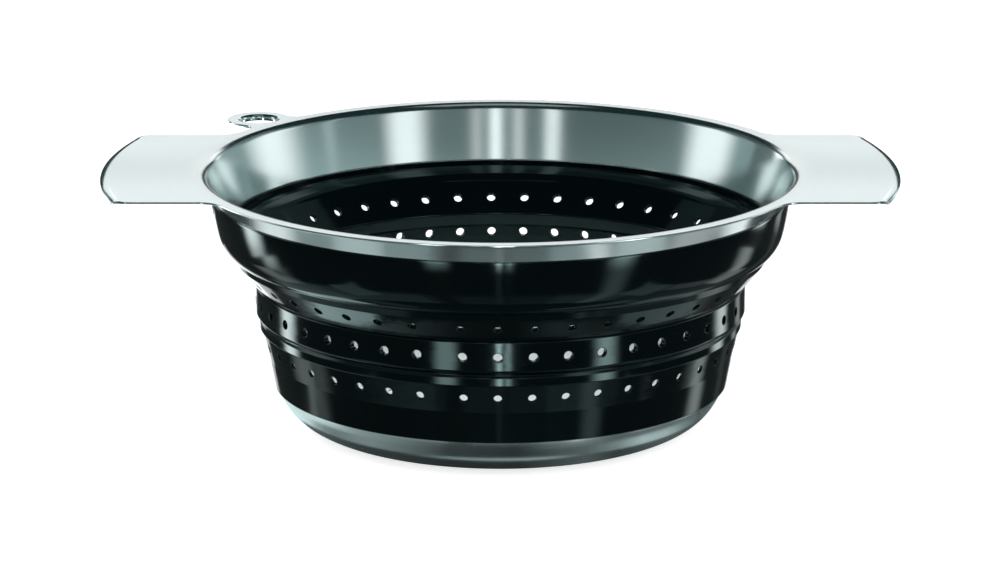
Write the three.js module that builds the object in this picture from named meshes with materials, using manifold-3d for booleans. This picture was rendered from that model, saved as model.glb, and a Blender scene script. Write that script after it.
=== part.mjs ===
// Collapsible colander.
// A stainless rim stamping with two flap handles and a hanging eye, a silicone body that is
// moulded round it and folds at two conical hinge walls, and a stainless dish with drain holes.
// Millimetres, +Z up. The origin is on the table, on the bowl's axis. The handles lie along X,
// and the hanging eye is at the back left.

import * as THREE from 'three';
import { mergeVertices } from 'three/addons/utils/BufferGeometryUtils.js';
import Module from 'manifold-3d';

// Heights, stacked from the table up
const dishHeight = 16.3;
const lowerBandHeight = 13.1;
const lowerFoldHeight = 11.5;
const lipHeight = 3.2;
const grooveHeight = 3.8;
const middleHeight = 11.8;
const upperFoldHeight = 13.7;
const shoulderHeight = 8.4;
const wallHeight = 23.7;

// Radii, from the opening inwards: each step is measured from the one before
const openingRadius = 119.6;
const wallTaper = 7.1;
const shoulderTuck = 1.5;
const upperFoldStep = 10;
const lipStep = 1.6;
const lowerFoldStep = 3.2;
const lowerBandTaper = 2.4;

// Wall thicknesses
const sheet = 0.8;
const siliconeWall = 2;
const foldWall = 1.4;
const fitGap = 0.3;

// Rim stamping
const wallBend = 4;
const wallTopLean = THREE.MathUtils.degToRad(21);
const flangeWidth = 8.2;
const steelBandHeight = 9.1;
const handleReach = 35.5;
const handleWidth = 118.6;
const handleEndRadius = 180;
const handleCorner = 8;
const handleRoot = 12;
const edgeBend = 2.2;
const edgeTurn = THREE.MathUtils.degToRad(62);
const edgeBreak = THREE.MathUtils.degToRad(6);

// Hanging eye
const eyeAzimuth = THREE.MathUtils.degToRad(139.1);
const eyeReach = 9.3;
const eyeRadius = 13.4;
const eyeRoot = 5;
const eyeHole = 7.6;
const eyeBend = 1.6;
const eyeCollar = 2.6;

// Drain holes in the silicone: three rows of equal count, with one wider gap in each row
const drainHole = 1.8;
const drainCount = 45;
const drainSides = 6;
const wideGap = THREE.MathUtils.degToRad(10.4);
const wideGapAzimuth = THREE.MathUtils.degToRad(-103.7);
const cutOverrun = 2;

// Drain holes in the dish: a centre hole and rings of it
const floorHole = 2.2;
const floorPitch = 13;
const floorRings = 4;
const floorFirstRing = 6;

// Steps round the flange and the eye, and along each short curve of a section
const flangeSteps = 60;
const eyeSteps = 24;
const bendSteps = 3;
const curveSteps = 4;
const flatness = 0.001;

// Stainless and silicone finishes
const steelLook = { color: 0xc3c9c8, roughness: 0.22, metalness: 1 };
const siliconeLook = { color: 0x0b0e0e, roughness: 0.28, metalness: 0 };

// Levels that the pieces share
const lowerBandZ = dishHeight;
const lowerFoldZ = lowerBandZ + lowerBandHeight;
const lipZ = lowerFoldZ + lowerFoldHeight;
const grooveZ = lipZ + lipHeight;
const middleZ = grooveZ + grooveHeight;
const upperFoldZ = middleZ + middleHeight;
const shoulderZ = upperFoldZ + upperFoldHeight;
const wallFootZ = shoulderZ + shoulderHeight;
const rimTopZ = wallFootZ + wallHeight;

// Radii that the pieces share, on the outside of the silicone unless named otherwise
const wallFootRadius = openingRadius - wallTaper;
const shoulderRadius = wallFootRadius - shoulderTuck;
const middleRadius = shoulderRadius - upperFoldStep;
const lipRadius = middleRadius - lipStep;
const lowerFoldRadius = lipRadius - lowerFoldStep;
const dishEdgeRadius = lowerFoldRadius - lowerBandTaper;
const flangeRadius = openingRadius + flangeWidth;

// The angles midway between the drain holes: every piece of the body is faceted there, so each
// hole lies in the middle of one flat
const drainPitch = (2 * Math.PI - wideGap) / (drainCount - 1);
const firstDrain = wideGapAzimuth + wideGap / 2;
const drainSeams = Array.from({ length: drainCount }, (_, i) => firstDrain + drainPitch * (i + 0.5));
drainSeams[drainCount - 1] = firstDrain - wideGap / 2;
const evenly = (steps) => Array.from({ length: steps }, (_, i) => 2 * Math.PI * (i / steps));

const wasm = await Module();
wasm.setup();

// A closed three.js geometry as a solid, without the collapsed triangles at an axis
function solidFrom(geometry) {
  const plain = geometry.clone();
  plain.deleteAttribute('normal');
  plain.deleteAttribute('uv');
  const merged = mergeVertices(plain);
  const corners = [];
  const index = merged.index.array;
  for (let i = 0; i < index.length; i += 3) {
    const [a, b, c] = [index[i], index[i + 1], index[i + 2]];
    if (a !== b && b !== c && c !== a) corners.push(a, b, c);
  }
  return new wasm.Manifold(new wasm.Mesh({
    numProp: 3,
    vertProperties: new Float32Array(merged.attributes.position.array),
    triVerts: new Uint32Array(corners),
  }));
}

// A named mesh from a finished solid, with its flat faces joined up again
function pieceFrom(solid, name, look) {
  const { vertProperties, triVerts } = solid.asOriginal().simplify(flatness).getMesh();
  const geometry = new THREE.BufferGeometry();
  geometry.setAttribute('position', new THREE.BufferAttribute(vertProperties, 3));
  geometry.setIndex(new THREE.BufferAttribute(triVerts, 1));
  geometry.computeVertexNormals();
  const mesh = new THREE.Mesh(geometry, new THREE.MeshStandardMaterial(look));
  mesh.name = name;
  return mesh;
}

const at = (r, z) => new THREE.Vector2(r, z);

// A section in (radius, height) turned once round the vertical axis, through a list of angles
function revolve(section, angles = drainSeams) {
  const closed = section[0].x === 0 ? section : [...section, section[0]];
  const geometry = new THREE.LatheGeometry(closed, angles.length);
  const place = geometry.attributes.position;
  for (let i = 0; i < place.count; i += 1) {
    const angle = angles[Math.floor(i / closed.length) % angles.length];
    const { x: r, y: z } = closed[i % closed.length];
    place.setXYZ(i, r * Math.cos(angle), r * Math.sin(angle), z);
  }
  return solidFrom(geometry);
}

// Points on a quadratic curve from start to end, both included
function curve(start, control, end, steps = curveSteps) {
  return new THREE.QuadraticBezierCurve(start, control, end).getPoints(steps);
}

// Points on an arc round a centre, both ends included
function arc(centre, radius, from, to, steps) {
  const points = [];
  for (let i = 0; i <= steps; i += 1) {
    const angle = from + (to - from) * (i / steps);
    points.push(at(centre.x + radius * Math.cos(angle), centre.y + radius * Math.sin(angle)));
  }
  return points;
}

// A path moved sideways, to its left where the distance is positive, with mitred corners
function offset(path, distance) {
  const last = path.length - 1;
  const heading = (i) => path[i + 1].clone().sub(path[i]).normalize();
  return path.map((point, i) => {
    const before = heading(Math.max(i - 1, 0));
    const after = heading(Math.min(i, last - 1));
    const mean = before.clone().add(after).normalize();
    const reach = distance / mean.dot(after);
    return at(point.x - mean.y * reach, point.y + mean.x * reach);
  });
}

// A sheet-metal section: one face as a path, and the other a sheet's thickness to its left
function sheetSection(path) {
  return [...path, ...offset(path, sheet).reverse()];
}

// The steel wall's inner face, from the bend under the opening down to its lower edge
const wallTop = at(openingRadius, rimTopZ - wallBend * (1 - Math.sin(wallTopLean)));
const wallFoot = at(wallFootRadius, wallFootZ);
const wallReach = wallTop.distanceTo(wallFoot) / 2;
const wallControl = at(
  wallTop.x - wallReach * Math.sin(wallTopLean),
  wallTop.y - wallReach * Math.cos(wallTopLean),
);
const wallCurve = new THREE.QuadraticBezierCurve(wallTop, wallControl, wallFoot);

// The stretch of that wall which lies below a height
function wallBelow(height) {
  const a = wallTop.y - 2 * wallControl.y + wallFoot.y;
  const b = 2 * (wallControl.y - wallTop.y);
  const c = wallTop.y - height;
  const share = (-b - Math.sqrt(b * b - 4 * a * c)) / (2 * a);
  const points = [];
  for (let i = 0; i <= bendSteps; i += 1) {
    points.push(wallCurve.getPoint(share + (1 - share) * (i / bendSteps)));
  }
  return points;
}

// The rim's outline seen from above, as arcs that meet smoothly. Each point keeps the direction
// that points out of the sheet, and how far the edge is turned down there: 0 flat, 1 full.
function rimOutline() {
  const half = handleWidth / 2;
  const reach = flangeRadius + handleReach;
  const rootX = Math.sqrt((flangeRadius + handleRoot) ** 2 - (half + handleRoot) ** 2);
  const rootAngle = Math.atan2(half + handleRoot, rootX);
  const endX = reach - handleEndRadius;
  const cornerX = endX + Math.sqrt((handleEndRadius - handleCorner) ** 2 - (half - handleCorner) ** 2);
  const cornerAngle = Math.atan2(half - handleCorner, cornerX - endX);
  const eyeX = (flangeRadius + eyeReach) * Math.cos(eyeAzimuth);
  const eyeY = (flangeRadius + eyeReach) * Math.sin(eyeAzimuth);
  const toEye = flangeRadius + eyeReach;
  const toRoot = flangeRadius + eyeRoot;
  const eyeSpan = eyeRadius + eyeRoot;
  const eyeSpread = Math.acos((toEye ** 2 + toRoot ** 2 - eyeSpan ** 2) / (2 * toEye * toRoot));
  const turn = Math.PI;
  const points = [];

  // One arc: side 1 bulges out of the sheet, side -1 is a fillet
  function addArc(x, y, radius, from, to, steps, side, turnFrom, turnTo) {
    for (let i = 0; i < steps; i += 1) {
      const share = i / steps;
      const angle = from + (to - from) * share;
      const [c, s] = [Math.cos(angle), Math.sin(angle)];
      const down = turnFrom + (turnTo - turnFrom) * share;
      points.push({ x: x + radius * c, y: y + radius * s, nx: side * c, ny: side * s, down });
    }
  }

  // One handle, counter-clockwise from the fillet before it to the fillet after it
  function addHandle(spin) {
    const [c, s] = [Math.cos(spin), Math.sin(spin)];
    const place = (x, y) => [x * c - y * s, x * s + y * c];
    const addSide = (x, side) => {
      const [px, py] = place(x, side * half);
      points.push({ x: px, y: py, nx: -side * s, ny: side * c, down: 1 });
    };
    const rootBefore = place(rootX, -half - handleRoot);
    const cornerBefore = place(cornerX, handleCorner - half);
    const end = place(endX, 0);
    const cornerAfter = place(cornerX, half - handleCorner);
    const rootAfter = place(rootX, half + handleRoot);
    const quarter = turn / 2;
    addArc(...rootBefore, handleRoot, spin + turn - rootAngle, spin + quarter, curveSteps, -1, 0, 1);
    addSide(rootX, -1);
    addArc(...cornerBefore, handleCorner, spin - quarter, spin - cornerAngle, bendSteps, 1, 1, 1);
    addArc(...end, handleEndRadius, spin - cornerAngle, spin + cornerAngle, 2 * curveSteps, 1, 1, 1);
    addArc(...cornerAfter, handleCorner, spin + cornerAngle, spin + quarter, bendSteps, 1, 1, 1);
    addSide(cornerX, 1);
    addArc(...rootAfter, handleRoot, spin - quarter, spin - turn + rootAngle, curveSteps, -1, 1, 0);
  }

  const addFlange = (from, to) => {
    const steps = Math.max(2, Math.round((to - from) / (2 * turn) * flangeSteps));
    addArc(0, 0, flangeRadius, from, to, steps, 1, 0, 0);
  };
  const eyeStart = eyeAzimuth - eyeSpread;
  const eyeEnd = eyeAzimuth + eyeSpread;
  const rootStart = [toRoot * Math.cos(eyeStart), toRoot * Math.sin(eyeStart)];
  const rootEnd = [toRoot * Math.cos(eyeEnd), toRoot * Math.sin(eyeEnd)];
  const lobeStart = Math.atan2(rootStart[1] - eyeY, rootStart[0] - eyeX);
  const lobeEnd = Math.atan2(rootEnd[1] - eyeY, rootEnd[0] - eyeX) + 2 * turn;

  addHandle(0);
  addFlange(rootAngle, eyeStart);
  addArc(...rootStart, eyeRoot, eyeStart + turn, lobeStart + turn, bendSteps, -1, 0, 0);
  addArc(eyeX, eyeY, eyeRadius, lobeStart, lobeEnd, eyeSteps / 2, 1, 0, 0);
  addArc(...rootEnd, eyeRoot, lobeEnd - turn, eyeEnd - turn, bendSteps, -1, 0, 0);
  addFlange(eyeEnd, turn - rootAngle);
  addHandle(turn);
  addFlange(turn + rootAngle, 2 * turn - rootAngle);
  return { points, eyeX, eyeY };
}

// The flat of the rim as one loft: the outline's edge rolls over by the turn at each point
function rimPlate(outline) {
  const rings = [];
  const addRing = (radius, k) => rings.push(outline.map(({ x, y, nx, ny, down }) => {
    const whole = edgeBreak + (edgeTurn - edgeBreak) * down;
    const angle = whole * (k / bendSteps);
    const inset = edgeBend * Math.sin(whole) - radius * Math.sin(angle);
    return [x - nx * inset, y - ny * inset, rimTopZ - edgeBend + radius * Math.cos(angle)];
  }));
  for (let k = 0; k <= bendSteps; k += 1) addRing(edgeBend, k);
  for (let k = bendSteps; k >= 0; k -= 1) addRing(edgeBend - sheet, k);

  const count = outline.length;
  const corners = [];
  for (let ring = 0; ring < rings.length - 1; ring += 1) {
    for (let i = 0; i < count; i += 1) {
      const next = (i + 1) % count;
      const [a, b] = [ring * count + i, ring * count + next];
      const [c, d] = [a + count, b + count];
      corners.push(a, c, b, b, c, d);
    }
  }
  const bottom = (rings.length - 1) * count;
  const flat = (ring) => ring.map(([x, y]) => at(x, y));
  for (const [a, b, c] of THREE.ShapeUtils.triangulateShape(flat(rings[0]), [])) corners.push(a, b, c);
  for (const [a, b, c] of THREE.ShapeUtils.triangulateShape(flat(rings.at(-1)), [])) {
    corners.push(bottom + a, bottom + c, bottom + b);
  }
  const geometry = new THREE.BufferGeometry();
  geometry.setAttribute('position', new THREE.Float32BufferAttribute(rings.flat(2), 3));
  geometry.setIndex(corners);
  return solidFrom(geometry);
}

// A plug to cut a round opening through the rim's flat
function roundCut(radius, angles) {
  const low = rimTopZ - edgeBend - cutOverrun;
  const high = rimTopZ + cutOverrun;
  return revolve([at(0, low), at(radius, low), at(radius, high), at(0, high)], angles);
}

// The rim stamping: flat with turned handle edges, bend and wall, and the eye's collar
function steelRim() {
  const { points, eyeX, eyeY } = rimOutline();
  const bendCentre = at(openingRadius + wallBend * Math.cos(wallTopLean), rimTopZ - wallBend);
  const joinRadius = bendCentre.x + sheet;
  const wallPath = [
    at(joinRadius + sheet, rimTopZ),
    ...arc(bendCentre, wallBend, Math.PI / 2, Math.PI - wallTopLean, bendSteps).slice(0, -1),
    ...wallCurve.getPoints(bendSteps),
  ];
  const eyeCentre = at(eyeHole + eyeBend, rimTopZ - eyeBend);
  const eyeJoin = eyeCentre.x + sheet / 2;
  const eyePath = [
    at(eyeJoin + sheet / 2, rimTopZ),
    ...arc(eyeCentre, eyeBend, Math.PI / 2, Math.PI, bendSteps),
    at(eyeHole, rimTopZ - eyeCollar),
  ];
  const eye = revolve(sheetSection(eyePath), evenly(eyeSteps)).translate([eyeX, eyeY, 0]);
  return rimPlate(points)
    .subtract(roundCut(joinRadius, drainSeams))
    .subtract(roundCut(eyeJoin, evenly(eyeSteps)).translate([eyeX, eyeY, 0]))
    .add(revolve(sheetSection(wallPath)))
    .add(eye);
}

// Radial cutters for one row of drain holes, square to a wall that leans by the tilt
function drainCutters(radius, height, tilt) {
  const length = 2 * (siliconeWall + cutOverrun);
  let cutters = null;
  for (let i = 0; i < drainCount; i += 1) {
    const geometry = new THREE.CylinderGeometry(drainHole, drainHole, length, drainSides);
    geometry.rotateZ(Math.PI / 2);
    geometry.rotateY(tilt);
    geometry.translate(radius, 0, height);
    geometry.rotateZ(firstDrain + drainPitch * i);
    const cutter = solidFrom(geometry);
    cutters = cutters ? cutters.add(cutter) : cutter;
  }
  return cutters;
}

// Upper collar: moulded round the steel wall, flush with it inside, and turned in at a shoulder
const collarTopZ = rimTopZ - steelBandHeight;
const collarEdge = 0.5;
const collarFootWall = 3.5;
const shoulderTurn = 3.9;
const innerShoulder = 2.9;
const hingeWall = 2;

function siliconeCollar() {
  const seat = offset(wallBelow(collarTopZ), sheet + fitGap);
  const lip = seat.shift();
  const top = at(lip.x, collarTopZ);
  const foot = at(wallFootRadius + collarFootWall, wallFootZ);
  const outerTop = at(top.x + collarEdge, collarTopZ);
  const lean = (outerTop.x - foot.x) / (outerTop.y - foot.y);
  const turnZ = shoulderZ + shoulderTurn;
  const turn = at(foot.x - lean * (foot.y - turnZ), turnZ);
  const heel = at(seat.at(-1).x, wallFootZ - fitGap);
  seat.pop();
  return revolve([
    outerTop,
    top,
    ...seat,
    heel,
    at(wallFootRadius, wallFootZ - fitGap),
    at(wallFootRadius - shoulderTuck / 2, shoulderZ + innerShoulder),
    at(shoulderRadius - hingeWall, shoulderZ),
    ...curve(foot, turn, at(shoulderRadius, shoulderZ)).reverse(),
  ]);
}

// Upper fold wall: the cone with the first row of holes that turns itself inside out
const foldLipDrop = 2.8;
const foldLipTuck = 1.3;
const foldGroove = 1.5;
const coneWall = 2.7;
const upperRowDrop = 6.8;

function upperFoldWall() {
  const lip = at(shoulderRadius - foldLipTuck, shoulderZ - foldLipDrop);
  const groove = at(middleRadius, upperFoldZ + foldGroove);
  const coneFoot = at(groove.x + foldGroove, groove.y + foldGroove / 2);
  const innerFoot = at(middleRadius - siliconeWall, groove.y);
  const slope = (lip.x - coneFoot.x) / (lip.y - coneFoot.y);
  const rowZ = shoulderZ - upperRowDrop;
  const rowRadius = lip.x - slope * (lip.y - rowZ) - coneWall / 2;
  return revolve([
    at(shoulderRadius - hingeWall, shoulderZ),
    innerFoot,
    at(innerFoot.x, upperFoldZ),
    at(middleRadius, upperFoldZ),
    groove,
    coneFoot,
    lip,
    at(shoulderRadius, shoulderZ),
  ]).subtract(drainCutters(rowRadius, rowZ, Math.atan(slope)));
}

// Middle band: upright, with the second row of holes, then a groove and a lip
const bandCorner = 1.6;
const grooveDepth = 2.1;
const innerLedge = 0.5;
const innerLedgeDrop = 3.6;
const lipWall = 1.2;
const lipEdge = 0.4;
const middleRowDrop = 6.4;

function middleBand() {
  const grooveRadius = middleRadius - grooveDepth;
  const innerRadius = middleRadius - siliconeWall;
  const ledgeZ = upperFoldZ - innerLedgeDrop;
  return revolve([
    at(middleRadius, upperFoldZ),
    at(innerRadius, upperFoldZ),
    at(innerRadius, ledgeZ),
    at(innerRadius - innerLedge, ledgeZ),
    at(lipRadius - lipWall, middleZ),
    at(lipRadius - lipWall, lipZ),
    at(lipRadius, lipZ),
    at(lipRadius, grooveZ - lipEdge),
    at(grooveRadius, grooveZ),
    at(grooveRadius, middleZ),
    at(middleRadius - bandCorner / 2, middleZ),
    at(middleRadius, middleZ + bandCorner),
  ]).subtract(drainCutters(middleRadius - siliconeWall / 2, upperFoldZ - middleRowDrop, 0));
}

// Lower fold wall: the steep cone with the third row of holes
const lipOverhang = 0.5;
const lowerRowDrop = 5.1;

function lowerFoldWall() {
  const topRadius = lipRadius - lipOverhang;
  const slope = (topRadius - lowerFoldRadius) / lowerFoldHeight;
  const rowZ = lipZ - lowerRowDrop;
  const rowRadius = topRadius - slope * lowerRowDrop - foldWall / 2;
  return revolve([
    at(topRadius, lipZ),
    at(topRadius - foldWall, lipZ),
    at(lowerFoldRadius - foldWall, lowerFoldZ),
    at(lowerFoldRadius, lowerFoldZ),
  ]).subtract(drainCutters(rowRadius, rowZ, Math.atan(slope)));
}

// Stainless dish: a raised floor with drain holes, a standing ring, a round knee and a wall
// that runs up inside the lower band
const floorRise = 1.8;
const floorRadius = 63;
const floorStep = 3;
const standWidth = 9.5;
const kneeRadius = 83.8;
const dishSeat = 1.4;
const dishWallRise = 9.7;
const dishWallFlare = 1.4;
const floorSides = 6;

const dishNeck = at(dishEdgeRadius - dishSeat - fitGap, lowerBandZ);
const dishTop = at(dishNeck.x + dishWallFlare, lowerBandZ + dishWallRise);

function baseDish() {
  const standRadius = floorRadius + floorStep + standWidth;
  const path = [
    at(0, floorRise),
    at(floorRadius, floorRise),
    at(floorRadius + floorStep, 0),
    ...curve(at(standRadius, 0), at(kneeRadius, 0), dishNeck, curveSteps + 2),
    dishTop,
  ];
  const dish = revolve(sheetSection(path));
  let cutters = floorCutter(0, 0);
  for (let ring = 1; ring <= floorRings; ring += 1) {
    const count = floorFirstRing * ring;
    for (let i = 0; i < count; i += 1) {
      const angle = 2 * Math.PI * (i / count);
      cutters = cutters.add(floorCutter(ring * floorPitch, angle));
    }
  }
  return dish.subtract(cutters);
}

function floorCutter(radius, angle) {
  const geometry = new THREE.CylinderGeometry(floorHole, floorHole, 2 * (sheet + cutOverrun), floorSides);
  geometry.rotateX(Math.PI / 2);
  geometry.translate(radius, 0, floorRise);
  geometry.rotateZ(angle);
  return solidFrom(geometry);
}

// Lower band: moulded round the dish's wall, and flush with it inside
const bandLedge = 0.4;

function lowerBand() {
  const [seatFoot, seatTop] = offset([dishNeck, dishTop], -fitGap);
  const innerTop = lowerFoldRadius - foldWall;
  return revolve([
    at(lowerFoldRadius, lowerFoldZ),
    at(innerTop, lowerFoldZ),
    at(innerTop, lowerFoldZ - bandLedge),
    at(dishTop.x - sheet, seatTop.y + fitGap),
    at(seatTop.x, seatTop.y + fitGap),
    at(seatFoot.x, lowerBandZ),
    at(dishEdgeRadius, lowerBandZ),
  ]);
}

const colander = new THREE.Group();
colander.add(
  pieceFrom(steelRim(), 'steel_rim', steelLook),
  pieceFrom(siliconeCollar(), 'silicone_collar', siliconeLook),
  pieceFrom(upperFoldWall(), 'upper_fold_wall', siliconeLook),
  pieceFrom(middleBand(), 'middle_band', siliconeLook),
  pieceFrom(lowerFoldWall(), 'lower_fold_wall', siliconeLook),
  pieceFrom(lowerBand(), 'lower_band', siliconeLook),
  pieceFrom(baseDish(), 'base_dish', steelLook),
);

export default colander;
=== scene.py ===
# A collapsible colander: a stainless rim with two flap handles and a hanging eye, a black
# silicone body that folds at two conical walls, and a stainless dish with drain holes.
# +Z is up, the origin is on the table under the middle of the bowl, and the front is -Y.
# The pieces' sizes are in millimetres, and each mesh and the studio are in metres.
import math

import bpy
import numpy as np
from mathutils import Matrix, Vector
from mathutils.geometry import tessellate_polygon


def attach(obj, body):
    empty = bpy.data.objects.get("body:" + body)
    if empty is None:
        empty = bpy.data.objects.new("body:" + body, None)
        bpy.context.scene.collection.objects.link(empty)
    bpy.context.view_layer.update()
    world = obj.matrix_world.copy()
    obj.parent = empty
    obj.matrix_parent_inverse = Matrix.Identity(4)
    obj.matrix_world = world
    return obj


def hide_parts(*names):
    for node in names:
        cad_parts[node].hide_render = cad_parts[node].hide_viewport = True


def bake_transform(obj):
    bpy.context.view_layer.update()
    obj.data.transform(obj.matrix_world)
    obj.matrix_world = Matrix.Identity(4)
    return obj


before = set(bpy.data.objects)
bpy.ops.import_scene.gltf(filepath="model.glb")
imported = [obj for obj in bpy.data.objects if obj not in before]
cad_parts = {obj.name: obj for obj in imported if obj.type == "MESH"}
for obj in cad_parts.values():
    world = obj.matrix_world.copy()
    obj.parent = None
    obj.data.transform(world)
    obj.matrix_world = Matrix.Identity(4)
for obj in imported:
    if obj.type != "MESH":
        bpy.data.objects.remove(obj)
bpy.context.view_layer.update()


# The rim is one stamping of 0.8 mm stainless sheet. Its flat carries the two flap handles, with
# their edges rolled down, and the hanging eye, with its hole drawn down into a collar. Inside,
# the sheet bends down into the conical wall, which is polished round and round.
MM = 0.001
SHEET = 0.8
RIM_TOP = 105.5
OPENING = 119.6
WALL_FOOT = (112.5, 81.8)
WALL_BEND = 4
WALL_LEAN = math.radians(21)
FLANGE = 127.8
HANDLE_REACH = 35.5
HANDLE_HALF = 59.3
HANDLE_END = 180
HANDLE_CORNER = 8
HANDLE_ROOT = 12
SIDE_ROLL = 1.2
SIDE_TURN = math.radians(20)
END_ROLL = 5.5
END_TURN = math.radians(44)
FLANGE_ROLL = 2.2
FLANGE_TURN = math.radians(6)
CUT_EDGE = 0.2
EYE_AT = math.radians(139.1)
EYE_REACH = 9.3
EYE_LOBE = 13.4
EYE_ROOT = 5
EYE_HOLE = 7.6
EYE_BEND = 1.6
EYE_COLLAR = 2.6
GUARD = 0.3
ROLL_STEPS = 12
EDGE_SHARES = (0.9, 0.6, 0, -0.6, -0.9)
FLAT_FROM = (121, 130)
# The painted sheen across a handle runs from this far off its middle to this far, in millimetres.
PAINTED_SHEEN_ACROSS = (2, 46)
SMOOTH_BELOW = math.radians(38)
ROUND = [2 * math.pi * i / 360 for i in range(360)]


class Skin:
    """The closed surface of a piece, put together from rings of points, in millimetres."""

    def __init__(self):
        self.points = []
        self.faces = []

    def ring(self, points):
        first = len(self.points)
        self.points.extend(points)
        return list(range(first, len(self.points)))

    def join(self, before, after):
        """Faces between two rings of as many points."""
        for i in range(len(before)):
            j = (i + 1) % len(before)
            self.faces.append((before[i], before[j], after[j], after[i]))

    def join_all(self, rings, closed=False):
        for before, after in zip(rings, rings[1:]):
            self.join(before, after)
        if closed:
            self.join(rings[-1], rings[0])

    def flat(self, outline, holes, up):
        """A level face inside an outline, round any holes."""
        loops = [outline, *holes]
        places = [p for loop in loops for p in loop]
        for corners in tessellate_polygon([[Vector(self.points[p]) for p in loop] for loop in loops]):
            a, b, c = (places[i] for i in corners)
            (ax, ay, _), (bx, by, _), (cx, cy, _) = (self.points[p] for p in (a, b, c))
            turn = (bx - ax) * (cy - ay) - (by - ay) * (cx - ax)
            self.faces.append((a, b, c) if (turn > 0) == up else (a, c, b))

    def piece(self, name, material):
        mesh = bpy.data.meshes.new(name)
        mesh.from_pydata([(x * MM, y * MM, z * MM) for x, y, z in self.points], [], self.faces)
        mesh.shade_smooth()
        mesh.set_sharp_from_angle(angle=SMOOTH_BELOW)
        mesh.materials.append(material)
        made = bpy.data.objects.new(name, mesh)
        bpy.context.scene.collection.objects.link(made)
        return made


def hoop(radius, height, angles=ROUND, centre=(0, 0)):
    """One level ring round an upright axis."""
    x, y = centre
    return [(x + radius * math.cos(a), y + radius * math.sin(a), height) for a in angles]


def bow(centre, radius, start, stop, steps):
    """Points of a section on an arc, both ends included."""
    x, z = centre
    turns = [start + (stop - start) * i / steps for i in range(steps + 1)]
    return [(x + radius * math.cos(a), z + radius * math.sin(a)) for a in turns]


def sag(start, pull, end, steps):
    """Points of a section on a curve that leaves start and meets end, both included."""
    line = []
    for i in range(steps + 1):
        t = i / steps
        shares = ((1 - t) ** 2, 2 * t * (1 - t), t * t)
        line.append(tuple(sum(k * p[axis] for k, p in zip(shares, (start, pull, end))) for axis in (0, 1)))
    return line


def swoop(start, start_pull, end_pull, end, steps):
    """Points of a section on a curve with a pull at each end, both ends included."""
    line = []
    for i in range(steps + 1):
        t = i / steps
        shares = ((1 - t) ** 3, 3 * t * (1 - t) ** 2, 3 * t * t * (1 - t), t ** 3)
        pulls = start, start_pull, end_pull, end
        line.append(tuple(sum(k * p[axis] for k, p in zip(shares, pulls)) for axis in (0, 1)))
    return line


def beside(line, distance):
    """A section's line moved sideways, to its left, with its corners mitred."""
    moved = []
    for i, (x, z) in enumerate(line):
        before = np.subtract(line[max(i, 1)], line[max(i, 1) - 1])
        after = np.subtract(line[min(i + 1, len(line) - 1)], line[min(i, len(line) - 2)])
        before, after = before / np.linalg.norm(before), after / np.linalg.norm(after)
        mean = (before + after) / np.linalg.norm(before + after)
        reach = distance / float(mean @ after)
        moved.append((x - mean[1] * reach, z + mean[0] * reach))
    return moved


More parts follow.
